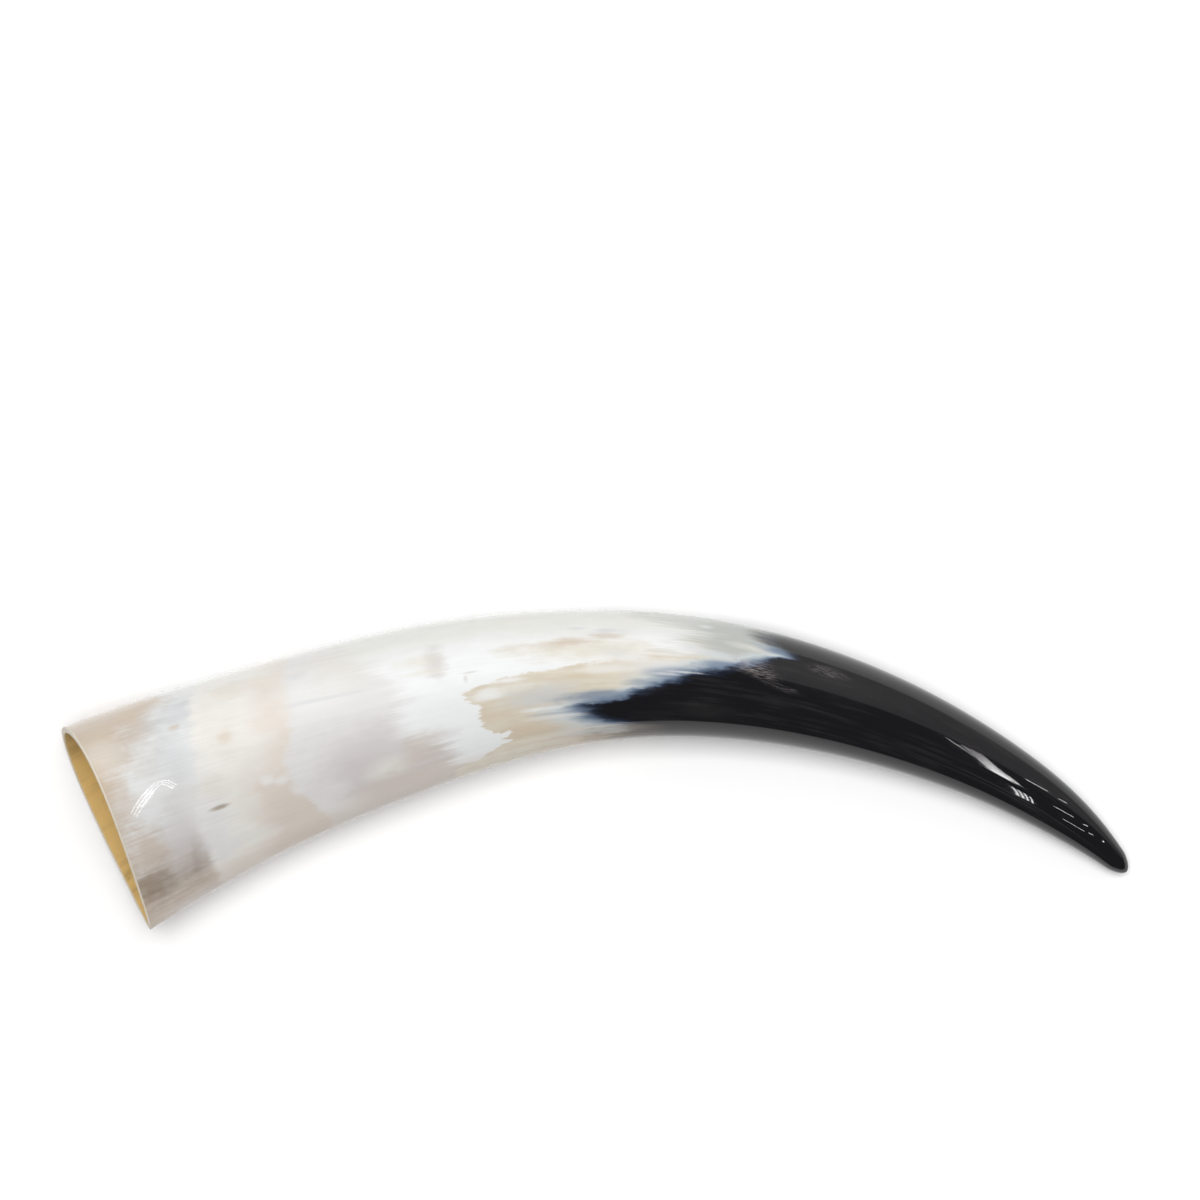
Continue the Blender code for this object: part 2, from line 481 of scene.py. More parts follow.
def grow_horn(sizes):
    """One sleeve, closed at the tip and folded in at the rim to line the hollow."""
    turn = np.arange(sizes.sides) * 2 * math.pi / sizes.sides
    rings, outer_count, inner_count = horn_rings(sizes, turn)
    shift = place_shift(np.concatenate([ring.points for ring in rings]), sizes.skin_inset)
    last = len(rings) - 1
    shape = bmesh.new()
    bmesh.ops.create_cone(
        shape, cap_ends=False, segments=sizes.sides, radius1=1, radius2=1, depth=1
    )
    upright = [
        edge for edge in shape.edges if abs(edge.verts[0].co.z - edge.verts[1].co.z) > 0.5
    ]
    bmesh.ops.subdivide_edges(shape, edges=upright, cuts=last - 1)
    for face in shape.faces:
        ring = (face.calc_center_median().z + 0.5) * last
        face.material_index = OUTSIDE if ring < outer_count - 1 else RIM
        if ring > last - inner_count + 1:
            face.material_index = HOLLOW
        face.smooth = True
    layers = shape.verts.layers
    along = layers.float.new("along")
    wall = layers.float.new("wall")
    side = layers.float_vector.new("side")
    grain = layers.float_vector.new("grain")
    grains = [grain_place(ring.distance, turn, ring.close) for ring in rings]
    for vertex in shape.verts:
        number = round((vertex.co.z + 0.5) * last)
        spoke = round(math.atan2(vertex.co.y, vertex.co.x) / (2 * math.pi) * sizes.sides)
        spoke %= sizes.sides
        ring = rings[number]
        vertex[along] = ring.distance[spoke]
        vertex[wall] = ring.wall
        vertex[side] = Vector((math.cos(turn[spoke]), math.sin(turn[spoke]), 0)) * ring.close
        vertex[grain] = Vector(grains[number][spoke])
        vertex.co = Vector(ring.points[spoke] + shift)
    bmesh.ops.remove_doubles(shape, verts=shape.verts, dist=WELD)
    bmesh.ops.recalc_face_normals(shape, faces=shape.faces)
    mesh = bpy.data.meshes.new("horn_polished")
    shape.to_mesh(mesh)
    shape.free()
    return bpy.data.objects.new("horn_polished", mesh)


class Wire:
    """A node's output. Python's operators on it add Math nodes."""

    def __init__(self, maker, socket):
        self.maker = maker
        self.socket = socket

    def __add__(self, other):
        return self.maker.math("ADD", self, other)

    def __radd__(self, other):
        return self.maker.math("ADD", other, self)

    def __sub__(self, other):
        return self.maker.math("SUBTRACT", self, other)

    def __rsub__(self, other):
        return self.maker.math("SUBTRACT", other, self)

    def __mul__(self, other):
        return self.maker.math("MULTIPLY", self, other)

    def __rmul__(self, other):
        return self.maker.math("MULTIPLY", other, self)

    def __truediv__(self, other):
        return self.maker.math("DIVIDE", self, other)

    def __rtruediv__(self, other):
        return self.maker.math("DIVIDE", other, self)


class NodeMaker:
    """Adds nodes to one tree."""

    MIX_FACTOR, MIX_FIRST, MIX_SECOND, MIX_RESULT = 0, 6, 7, 2

    def __init__(self, tree):
        self.tree = tree

    def node(self, kind, settings, sockets, output=0):
        """Adds a node: its settings come first, then the values or links of its sockets."""
        made = self.tree.nodes.new(kind)
        for name, value in settings.items():
            if name == "knots":
                self.set_knots(made.mapping, value)
            else:
                setattr(made, name, value)
        for name, value in sockets.items():
            self.feed(made.inputs[name], value)
        return Wire(self, made.outputs[output])

    def feed(self, socket, value):
        if isinstance(value, Wire):
            self.tree.links.new(value.socket, socket)
        else:
            socket.default_value = value

    @staticmethod
    def set_knots(mapping, knots):
        """Sets a curve's points, a list of (place, value)."""
        points = mapping.curves[0].points
        points[0].location = knots[0]
        points[1].location = knots[-1]
        for knot in knots[1:-1]:
            points.new(*knot)
        for point in points:
            point.handle_type = "AUTO_CLAMPED"
        mapping.update()

    def math(self, operation, *values):
        return self.node("ShaderNodeMath", {"operation": operation}, dict(enumerate(values)))

    def rise(self, value, low, high, top=1.0):
        """0 where the value is at low, top at high, eased between; low may be the larger."""
        settings = {"interpolation_type": "SMOOTHSTEP"}
        return self.node("ShaderNodeMapRange", settings, {0: value, 1: low, 2: high, 4: top})

    def blend(self, first, second, share, kind="MIX"):
        """The first colour turned into the second by the share."""
        settings = {"data_type": "RGBA", "blend_type": kind}
        sockets = {self.MIX_FACTOR: share, self.MIX_FIRST: first, self.MIX_SECOND: second}
        return self.node("ShaderNodeMix", settings, sockets, self.MIX_RESULT)

    def apart(self, vector):
        """The three parts of a vector."""
        first = self.node("ShaderNodeSeparateXYZ", {}, {0: vector})
        return [Wire(self, output) for output in first.socket.node.outputs]


class Speckle(NamedTuple):
    """Noise along the grain: its seed, and a grain's length and width in millimetres."""

    seed: int
    long: float
    wide: float
    detail: float = 2.0
    roughness: float = 0.5


# Each seed looks at another place of the noise
SEED_STEP = (7.3, 3.1, 5.7)
FINE_FIBRE = Speckle(1, 16, 0.7)
STRAND = Speckle(2, 30, 2.4)
PATCH = Speckle(3, 24, 10, 3.0)
RIM_LAYERS = Speckle(4, 60, 0.8)
HOLLOW_STRAND = Speckle(5, 40, 3)
HOLLOW_PATCH = Speckle(6, 18, 12)
HOLLOW_PITS = Speckle(7, 1.6, 1.2, 3.0)
MOTTLE = Speckle(8, 9, 6, 3.0, 0.6)
BRUSH_MARKS = Speckle(9, 30, 0.35, 3.0)
SCRATCHES = Speckle(10, 3.4, 0.32, 2.0)


class Finish(NodeMaker):
    """A material whose patterns follow the horn's own length, turn and grain."""

    def __init__(self, name):
        self.material = bpy.data.materials.new(name)
        self.material.use_nodes = True
        super().__init__(self.material.node_tree)
        self.shader = self.tree.nodes["Principled BSDF"]

    def attribute(self, name, output):
        settings = {"attribute_name": name, "attribute_type": "GEOMETRY"}
        return self.node("ShaderNodeAttribute", settings, {}, output)

    def speckle(self, kind):
        """Noise about 0 of the given kind."""
        stretch = (1000 / kind.long, 1000 / kind.wide, 1000 / kind.wide)
        start = tuple(kind.seed * step for step in SEED_STEP)
        sockets = {"Vector": self.grain, "Location": start, "Scale": stretch}
        place = self.node("ShaderNodeMapping", {"vector_type": "POINT"}, sockets)
        sockets = {"Vector": place, "Scale": 1.0}
        sockets.update({"Detail": kind.detail, "Roughness": kind.roughness})
        return self.node("ShaderNodeTexNoise", {"noise_dimensions": "3D"}, sockets) - 0.5

    def follow_skin(self):
        """Makes the wires that all patterns share."""
        self.grain = self.attribute("grain", "Vector")
        # Millimetres from the base
        self.along = self.attribute("along", "Fac") * 1000.0
        outer, up, _ = self.apart(self.attribute("side", "Vector"))
        # Degrees from the outer side of the bend, over the top
        self.around = self.math("ARCTAN2", up, outer) * math.degrees(1)

    def press_in(self, height, strength, depth):
        """Presses fine marks into the surface."""
        sockets = {"Strength": strength, "Distance": depth, "Height": height}
        self.feed(self.shader.inputs["Normal"], self.node("ShaderNodeBump", {}, sockets))


# Lines round the horn, as (degrees from the outer side over the top, millimetres from the base)
GREY_START = (
    (-180, 10), (-120, 16), (-60, 30), (0, 34), (28, 30), (45, 27), (60, 20), (78, 14), (95, 9),
    (120, 6), (150, 8), (180, 10),
)
WHITE_START = (
    (-180, 34), (-140, 40), (-100, 47), (-60, 57), (-20, 60), (10, 56), (37, 52), (60, 48),
    (78, 45), (90, 44), (101, 38), (114, 36.5), (127, 36), (143, 35), (180, 34),
)
COLD_START = (
    (-180, 86), (-140, 92), (-100, 88), (-60, 97), (-20, 96), (10, 91), (32, 88), (60, 87),
    (78, 84), (90, 80), (104, 77), (117, 79), (127, 82), (150, 85), (180, 86),
)
CLOUD_START = (
    (-180, 140), (-130, 118), (-90, 128), (-50, 112), (0, 112), (30, 112), (50, 120), (66, 127),
    (80, 131), (90, 127), (100, 124), (112, 131), (122, 140), (130, 141), (142, 142), (152, 150),
    (180, 140),
)
CLOUD_END = (
    (-180, 141), (-165, 152), (-140, 175), (-128, 168), (-112, 190), (-95, 182), (-75, 214),
    (-55, 222), (-30, 206), (0, 212), (12, 218), (24, 226), (36, 237), (46, 240), (58, 240),
    (64, 236), (71, 228), (76, 213), (80, 190), (83.5, 161), (86, 153), (90, 151), (95, 152),
    (99, 156), (113, 156), (119, 157), (123, 160), (126.5, 168), (130, 163), (134, 166),
    (138, 161), (144, 154), (152, 141), (180, 141),
)
BLACK_START = (
    (-180, 225), (-165, 226), (-150, 236), (-135, 242), (-122, 226), (-110, 214), (-98, 222),
    (-84, 246), (-66, 262), (-45, 260), (-25, 270), (0, 276), (14, 275), (24, 271), (37, 271),
    (46, 279), (52, 281), (57, 274), (63, 270), (68, 269), (73, 263), (78, 255), (83, 250),
    (89, 244), (92, 240), (97, 233), (104, 226), (108.5, 222), (112, 212), (115.5, 202),
    (121, 202), (127, 205.5), (134, 214), (143, 227), (160, 229), (180, 225),
)
# How many millimetres the milk takes to thin out over the black
VEIL_LENGTH = (
    (-180, 26), (-120, 18), (-60, 16), (0, 11), (37, 11), (46, 9), (58, 7), (66, 9), (75, 16),
    (86, 17), (92, 15), (98, 10), (104, 13), (109, 20), (114, 15), (122, 13), (130, 13),
    (137, 20), (145, 32), (160, 32), (180, 26),
)
# The lines' values are shares of this many millimetres
LINE_SPAN = 500.0

# How far before and after its line a band's edge blends, in millimetres
GREY_EDGE = (-9, 9)
WHITE_EDGE = (-2.2, 2.4)
PEACH_EDGE = (-22, -4)
BLUSH_EDGE = (-30, -10)
COLD_EDGE = (-1.6, 2.6)
LILAC_EDGE = (6, 26)
CLOUD_EDGE = (-8, 7)
WINDOW_EDGE = (-1.0, 1.0)
# Where the milk over the black thins out, in lengths of the veil from the start of the black
VEIL_DEPTH = (-2.1, -0.9)
STEEL_DEPTH = (-1.25, -0.35)
NAVY_DEPTH = (-0.70, 0.0)
BLACK_DEPTH = (-0.35, 0.30)
BRUSHED_DEPTH = (-0.4, -1.6)
# Where a colour of one side of the horn blends in, in degrees from the outer side; the lower
# side's lilac and blush are partly painted shade
SHADOW_SIDE = (98, 128)
LOWER_SIDE = (92, 122)
IVORY_SIDE = (60, 36)
CREAM_SIDE = (80, 70)
BLUSH_AND_SHADE_SIDE = (134, 156)
UPPER_SIDE = (89, 80)
SMOKE_SIDE = (74, 62)
OUTER_SIDE = (52, 38)
INNER_SIDE = (134, 142)
# Where one blends in along the horn, in millimetres from the base
SHADOW_START = (12, 26)
CREAM_START = (150, 185)
FIBRE_FADE = (150, 40)
BRUSHED_START = (40, 64)
# How much softer and more frayed the window's edge is on the outer side
WINDOW_SOFTENING = 10.0
WINDOW_FRAYING = 3.0
WINDOW_WANDER = 24

# Roughness of the polish, and what the brushed middle adds
POLISH = 0.028
BRUSHING = 0.13
HORN_IOR = 1.54
# How strongly and how deep (in metres) the fine marks of each finish are pressed in
POLISH_BUMP = (0.15, 0.00002)
RIM_BUMP = (0.5, 0.0002)
HOLLOW_BUMP = (0.6, 0.0004)
RIM_ROUGHNESS = 0.45
HOLLOW_ROUGHNESS = 0.55
PIT_COLOUR = (0.05, 0.03, 0.015, 1.0)
# Painted shade: the hollow darkens deeper in, between these distances from the base, in
# millimetres
HOLLOW_PAINTED_SHADE = (30, 220)


class Mark(NamedTuple):
    """A soft mark: its pigment, place and half size in millimetres along and degrees round."""

    colour: str
    along: float
    around: float
    long: float
    wide: float
    strength: float
    slant: float = 4.0
    fray: float = 1.1
    edge: float = 0.8


# Beside the rim
BASE_MARKS = (
    Mark("taupe", 30, 42, 8, 24, 0.34, 8),
    Mark("blush", 28, 46, 7, 7, 0.45, 10),
    Mark("blush", 28, 24, 10, 16, 0.80, 8),
    Mark("tan", 30, 25, 9, 13, 0.48, 6),
    Mark("blush", 18, 63, 7, 6, 0.40, 12),
    Mark("blush", 14, 84, 6, 9, 0.55, 10),
    Mark("warm_white", 15, 52, 6, 9, 0.40, 8),
    Mark("cool", 45, 42, 10, 10, 0.50, 2),
    Mark("cool", 50, 36, 4, 3, 0.45, 2),
    Mark("cool", 38, 70, 6, 18, 0.45, 0),
    Mark("tan", 43, 52, 2.0, 1.8, 0.45, 0, 0.6),
    # Painted shade: a faint grey band just before the first pale band
    Mark("lilac", 34, 98, 7, 22, 0.20, 0),
    Mark("lilac", 25, 124, 14, 20, 0.45, 6),
    Mark("taupe", 33, 132, 5, 12, 0.62, 4),
    Mark("blush", 13, 112, 7, 14, 0.85, 6),
    Mark("taupe", 13, 143, 17, 17, 0.72, 6, 0.6),
    Mark("brown", 8, 134, 7, 9, 0.70, 6, 0.8),
    Mark("taupe", 26, 151, 14, 9, 0.90, 4),
)
# On the first pale band
FIRST_MARKS = (
    Mark("cold_white", 42, 116, 7, 32, 0.90, 4),
    Mark("peach", 60, 69, 6, 9, 0.35, 0, 1.2, 0.9),
    Mark("tan", 60, 69, 2.4, 3.6, 0.34, 0, 0.7, 0.9),
    Mark("tan", 68, 36, 9, 6, 0.25),
    Mark("cream", 48, 94, 7, 6, 0.40),
    Mark("warm_white", 57, 114, 7, 9, 0.60, 6),
    Mark("taupe", 47, 106.5, 4.0, 1.3, 0.85, 8, 0.5, 0.6),
)
# On the second pale band
SECOND_MARKS = (
    Mark("cloud", 69, 103, 2.6, 2.6, 0.60, 0, 1.0),
    Mark("cloud", 74, 106, 2.6, 2.2, 0.55, 0, 1.0),
    Mark("cloud", 79, 116, 2.4, 4.0, 0.45, 0, 1.0),
    Mark("cloud", 100, 55, 13, 14, 0.60),
    Mark("lilac", 108, 106, 15, 16, 0.34, 6),
    Mark("lilac", 97, 122, 16, 10, 0.20, 6),
    Mark("cream", 112, 40, 18, 22, 0.35, 4),
    Mark("cool", 100, 65, 14, 1.3, 0.30, 10, 0.5),
    Mark("cool", 93, 42, 3.5, 3.0, 0.30),
    Mark("warm_white", 116, 126, 9, 8, 0.75, 6),
    Mark("blush", 122, 140, 24, 8, 0.50, 3),
)
# On the milky cloud and the off-white outer side
CLOUD_MARKS = (
    Mark("blush", 131, 114, 7, 7, 0.42, 4),
    Mark("blush", 129, 126, 9, 5, 0.40, 4),
    Mark("lilac", 140, 113, 7, 3.4, 0.28, 8),
    Mark("lilac", 119, 99, 8, 8, 0.12),
    Mark("taupe", 144, 59, 3.4, 11, 0.34, 0, 1.2, 0.8),
    Mark("cream", 138, 56, 7, 4, 0.45, 5),
    Mark("cream", 139, 66, 7, 2.2, 0.40, 5),
    Mark("taupe", 155.5, 73, 2.6, 0.8, 0.30, 5, 0.7),
    Mark("taupe", 153.4, 77, 0.7, 2.4, 0.26, 0, 0.7),
    Mark("cream", 205, 65, 24, 9, 0.70, 3),
    Mark("cream", 186, 62, 16, 6, 0.45, 3),
    Mark("blush", 186, 59, 12, 4.0, 0.30, 3),
    Mark("blush", 196, 57, 7, 3.6, 0.40, 3),
    Mark("tan", 194, 58, 4, 2.2, 0.25, 3),
    Mark("blush", 208, 52, 5, 2.4, 0.55, 3),
    Mark("cool", 209, 46, 5, 2.2, 0.45),
    Mark("cool", 197, 43, 4, 1.6, 0.40),
    Mark("cool", 211, 68, 5, 5, 0.25),
)
# On the underside
UNDER_MARKS = (
    Mark("taupe", 48, -112, 20, 18, 0.35, 6),
    Mark("blush", 66, -52, 26, 14, 0.40, 4),
    Mark("lilac", 96, -92, 26, 20, 0.45, 5),
    Mark("tan", 128, -140, 24, 12, 0.35, 4),
    Mark("cream", 146, -64, 22, 16, 0.55, 4),
    Mark("taupe", 160, -36, 9, 6, 0.30, 0),
)
# In the clear window
WINDOW_MARKS = (
    Mark("tan", 157, 99, 4, 13, 0.32, 0),
    Mark("tan", 166, 110, 10, 5, 0.35),
    Mark("tan", 172, 128, 14, 8, 0.50, 3),
    Mark("tan", 196, 88, 11, 4, 0.30, 4),
    Mark("cool", 181, 101, 14, 8, 0.60, 3),
    Mark("cloud", 160, 92, 5, 4, 0.80),
    Mark("cloud", 169, 84, 5.5, 2.0, 0.80, 5),
    Mark("warm_white", 171, 90, 9, 3, 0.45),
    Mark("warm_white", 206, 83, 10, 3, 0.60),
    Mark("cloud", 182, 112, 9, 1.8, 0.80, 8, 1.2),
    Mark("cold_white", 191, 117, 9, 1.4, 0.70, 8, 1.2),
    Mark("beige", 190, 134, 15, 5, 0.50, 3),
    Mark("warm_white", 208, 135, 9, 3, 0.80, 5),
)
# In the smoky zone
SMOKE_MARKS = (
    Mark("cream", 238, 54, 8, 4, 0.40),
    Mark("warm_white", 244, 66, 8, 4, 0.45),
    Mark("warm_white", 264, 50, 8, 4, 0.55),
    Mark("grey_milk", 245, 31, 2.4, 2.6, 0.60, 0, 0.6),
    Mark("ivory", 236, 24, 10, 14, 0.40, 0),
    Mark("ivory", 232, -40, 16, 24, 0.45, 0),
)
# Where the milk thins out over the black core
FRINGE_MARKS = (
    Mark("steel", 233, 86, 9, 5, 0.90, 0),
    Mark("steel", 253, 74, 9, 4, 0.85, 0),
    Mark("veil", 251, 65, 6, 3.5, 0.60, 0),
    Mark("steel", 274, 47, 10, 4.0, 0.85, 0),
    Mark("steel", 222, 96, 6, 3.0, 0.55, 0),
    Mark("cold_white", 222, 79, 14, 6, 0.55, 0),
    Mark("cold_white", 190, 121, 14, 1.6, 0.55, 8),
    Mark("steel", 186, 117, 10, 1.2, 0.35, 8),
    Mark("veil", 202, 144, 14, 5, 0.50, 4),
    Mark("steel", 205, 107, 15, 5.0, 0.80),
    Mark("navy", 202, 112, 7, 1.6, 0.25),
    Mark("cold_white", 240, 85.5, 6, 1.0, 0.60, 2),
    Mark("cold_white", 231, 88, 5, 1.0, 0.50, 2),
)
# In the black
DARK_MARKS = (
    Mark("smoke", 249, 122, 10, 8, 0.015, 3),
    Mark("ash", 286, 62, 34, 14, 0.030, 0),
    Mark("smoke", 385, 112, 40, 1.2, 0.030, 0, 0.8),
    Mark("smoke", 372, 118, 34, 1.0, 0.025, 0, 0.8),
)
# Fine scratches over the black, in slanting rows
SCRATCH_MARKS = (
    Mark("ash", 265, 74, 9, 4.8, 1.0, 40, 0.8, 0.8),
    Mark("ash", 263, 67, 6, 4.0, 0.9, 0, 0.8, 0.8),
    Mark("ash", 277, 86, 6, 2.4, 0.35, 20, 0.8, 0.9),
    Mark("ash", 293, 55, 6, 5, 0.6, 0, 0.8, 0.8),
)


def ring_line(finish, knots):
    """Where a line round the horn lies, in millimetres from the base."""
    places = [(degrees / 360 + 0.5, reach / LINE_SPAN) for degrees, reach in knots]
    line = finish.node("ShaderNodeFloatCurve", {"knots": places}, {"Value": finish.turn})
    return line * LINE_SPAN


def leaning(finish, mark, forward, sideways):
    """How far a place lies from the mark's middle, along a direction that leans off the axis."""
    middle = forward * mark.along + sideways * mark.around
    reach = finish.math("MULTIPLY_ADD", finish.along, forward, -middle)
    return finish.math("MULTIPLY_ADD", finish.around, sideways, reach) if sideways else reach


def soft_mark(finish, mark, fray):
    """How strongly a mark shows, its edge frayed along the grain."""
    lean = math.radians(mark.slant)
    forth = leaning(finish, mark, math.cos(lean) / mark.long, math.sin(lean) / mark.long)
    across = leaning(finish, mark, -math.sin(lean) / mark.wide, math.cos(lean) / mark.wide)
    reach = finish.math("SQRT", finish.math("MULTIPLY_ADD", forth, forth, across * across))
    reach = finish.math("MULTIPLY_ADD", fray, mark.fray, reach)
    return finish.rise(reach, 1.0 + mark.edge, 1.0 - mark.edge, mark.strength)


def outside_finish(colours):
    finish = Finish("horn_outside")
    finish.follow_skin()
    pot = {name: (*getattr(colours, name), 1.0) for name in HornColours.__annotations__}
    along, around, rise, blend = finish.along, finish.around, finish.rise, finish.blend
    # Degrees from the outer side, over the top or under the horn alike
    flank = finish.math("ABSOLUTE", around)
    fine = finish.speckle(FINE_FIBRE)
    strand = finish.speckle(STRAND)
    patch = finish.speckle(PATCH)
    mottle = finish.speckle(MOTTLE)
    fray = strand * 0.8 + fine * 0.35 + mottle * 1.4
    # Share of the way round at which the lines are read, wavering a little
    finish.turn = around / 360.0 + 0.5 + mottle * 0.03

    def paint(under, marks):
        for mark in marks:
            under = blend(under, pot[mark.colour], soft_mark(finish, mark, fray))
        return under

    # Base: beige, then a grey milky band, darker on the lower side: painted shade, partly the
    # horn's own darker colour there
    step = along + fray * 12 - ring_line(finish, GREY_START)
    tint = blend(pot["beige"], pot["grey_milk"], rise(step, *GREY_EDGE))
    shadow = rise(flank + fray * 14, *SHADOW_SIDE, 0.7) * rise(along, *SHADOW_START)
    tint = blend(tint, pot["lilac"], shadow)
    tint = paint(tint, BASE_MARKS)
    # First pale band, its edge sharp
    step = along + strand * 5 + mottle * 4 - ring_line(finish, WHITE_START)
    tint = blend(tint, pot["warm_white"], rise(step, *WHITE_EDGE))
    # Peach flush before the second band, wider on the lower side
    step = along + strand * 5 + fine * 3 + mottle * 5 - ring_line(finish, COLD_START)
    lower = rise(flank + fray * 14, *LOWER_SIDE)
    tint = blend(tint, pot["peach"], rise(step + patch * 30 + lower * 12, *PEACH_EDGE, 0.7))
    # Painted shade, partly the horn's own warmer colour: blush here and lilac after the second
    # band darken the lower side
    tint = blend(tint, pot["blush"], lower * rise(step + patch * 20, *BLUSH_EDGE, 0.36))
    tint = paint(tint, FIRST_MARKS)
    tint = blend(tint, pot["cold_white"], rise(step, *COLD_EDGE, 0.9))
    tint = blend(tint, pot["lilac"], lower * rise(step + patch * 20, *LILAC_EDGE, 0.5))
    tint = paint(tint, SECOND_MARKS)
    # Milky cloud, fuzzy at its start, then the clear window
    step = along + strand * 14 + fine * 8 + patch * 12 + mottle * 8
    step = step - ring_line(finish, CLOUD_START)
    milk = blend(pot["cloud"], pot["ivory"], rise(flank + patch * 30, *IVORY_SIDE))
    cream = rise(patch + strand, 0.0, 0.35, 0.35) * rise(along, *CREAM_START)
    milk = blend(milk, pot["cream"], cream * rise(flank, *CREAM_SIDE))
    tint = blend(tint, milk, rise(step, *CLOUD_EDGE))
    tint = paint(paint(tint, CLOUD_MARKS), UNDER_MARKS)
    # Painted shade, partly the horn's own warmer colour: blush darkens the lower side
    tint = blend(tint, pot["blush"], rise(flank + fray * 12, *BLUSH_AND_SHADE_SIDE, 0.6))
    upper = rise(flank, *UPPER_SIDE)
    step = along + (strand * 6 + fine * 5) * (1.0 + upper * WINDOW_FRAYING)
    step = step + patch * upper * WINDOW_WANDER - ring_line(finish, CLOUD_END)
    step = step / (0.9 + upper * WINDOW_SOFTENING)
    window = blend(pot["cream"], pot["beige"], rise(mottle + strand, -0.2, 0.3, 0.5))
    window = paint(window, WINDOW_MARKS)
    smoke = paint(pot["smoke"], SMOKE_MARKS)
    window = blend(window, smoke, rise(flank + fray * 10, *SMOKE_SIDE))
    tint = blend(tint, window, rise(step, *WINDOW_EDGE))
    # Milk thinning out over the black core, in streaks
    depth = (along - ring_line(finish, BLACK_START)) / ring_line(finish, VEIL_LENGTH)
    depth = depth + strand * 0.55 + fine * 0.40 + patch * 0.50 + mottle * 0.30
    streak = rise(strand + fine * 0.8, 0.10, 0.30)
    # The milk looks blue over the top, grey on the outer side and brown on the inner one
    outer = rise(flank, *OUTER_SIDE)
    inner = rise(flank, *INNER_SIDE)
    veil = blend(blend(pot["veil"], pot["smoke"], outer), pot["beige"], inner)
    tint = blend(tint, veil, rise(depth, *VEIL_DEPTH, 0.75))
    steel = blend(blend(pot["steel"], pot["slate"], outer), pot["umber"], inner)
    tint = blend(tint, steel, rise(depth + streak * -0.35, *STEEL_DEPTH))
    tint = paint(tint, FRINGE_MARKS)
    navy = blend(blend(pot["navy"], pot["slate"], outer * 0.4), pot["umber"], inner * 0.6)
    tint = blend(tint, navy, rise(depth + streak * -0.25, *NAVY_DEPTH))
    ashen = rise(strand + patch + fine * 0.5, 0.0, 0.4, 0.03)
    tint = blend(tint, blend(pot["black"], pot["ash"], ashen), rise(depth, *BLACK_DEPTH))
    tint = paint(tint, DARK_MARKS)
    scratch = rise(finish.speckle(SCRATCHES), -0.05, 0.12, 0.66)
    for mark in SCRATCH_MARKS:
        tint = blend(tint, pot[mark.colour], soft_mark(finish, mark, fray) * scratch)

    # Fibres, strongest in the thin horn near the base
    near_base = rise(along, *FIBRE_FADE, 0.08)
    shade = 1.0 + fine * (near_base + 0.05) + strand * 0.05 + mottle * 0.07
    shade = finish.node("ShaderNodeCombineColor", {}, {0: shade, 1: shade, 2: shade})
    tint = blend(tint, shade, 1.0, "MULTIPLY")
    finish.feed(finish.shader.inputs["Base Color"], tint)
    brushed = rise(along + mottle * 20, *BRUSHED_START) * rise(depth, *BRUSHED_DEPTH)
    finish.feed(finish.shader.inputs["Roughness"], POLISH + fine * 0.01 + brushed * BRUSHING)
    scratches = (finish.speckle(BRUSH_MARKS) + strand) * (brushed * 0.9 + 0.1)
    finish.press_in(scratches, *POLISH_BUMP)
    finish.shader.inputs["IOR"].default_value = HORN_IOR
    return finish.material


def rim_finish(colours):
    finish = Finish("sawn_rim")
    finish.follow_skin()
    layers = finish.speckle(RIM_LAYERS)
    wall = finish.attribute("wall", "Fac")
    darker = tuple(shade * 0.82 for shade in colours.hollow)
    share = finish.rise(wall + layers * 0.5, 0.45, 1.0)
    tint = finish.blend((*colours.rim, 1.0), (*darker, 1.0), share * 0.5)
    finish.feed(finish.shader.inputs["Base Color"], tint)
    finish.feed(finish.shader.inputs["Roughness"], RIM_ROUGHNESS + layers * 0.2)
    finish.press_in(layers, *RIM_BUMP)
    return finish.material


def hollow_finish(colours):
    finish = Finish("core_hollow")
    finish.follow_skin()
    strand = finish.speckle(HOLLOW_STRAND)
    patch = finish.speckle(HOLLOW_PATCH)
    pits = finish.speckle(HOLLOW_PITS)
    ochre = (*colours.hollow, 1.0)
    brown = (*(shade * 0.55 for shade in colours.hollow), 1.0)
    tint = finish.blend(ochre, brown, finish.rise(strand + patch, -0.1, 0.4) * 0.6)
    # Painted shade deeper in the hollow
    tint = finish.blend(tint, brown, finish.rise(finish.along, *HOLLOW_PAINTED_SHADE) * 0.7)
    tint = finish.blend(tint, PIT_COLOUR, finish.rise(pits, 0.21, 0.26) * 0.7)
    finish.feed(finish.shader.inputs["Base Color"], tint)
    finish.feed(finish.shader.inputs["Roughness"], HOLLOW_ROUGHNESS + strand * 0.4)
    finish.press_in(strand + pits * 0.6, *HOLLOW_BUMP)
    return finish.material


FLOOR_SIZE = 8.0
FLOOR_ROUGHNESS = 0.7
FLOOR_SHINE = 0.2
CAMERA_PLACE = (0.00102, 0.06718)
SENSOR_WIDTH = 36.0
NEAREST_SEEN = 0.05
FARTHEST_SEEN = 20.0
SOFT_LIGHT_PLACE = (0.0, 0.3, 3.0)
SOFT_LIGHT_SIZE = 1.8
# The bright far half of the room starts this many metres back for each metre of height
ROOM_EDGE = 0.19
ROOM_EDGE_BLUR = 0.02


class Tube(NamedTuple):
    """A lamp tube: its ends and bends seen from above, height, width and share of full glow."""

    bends: tuple
    height: float
    width: float
    glow: float = 1.0


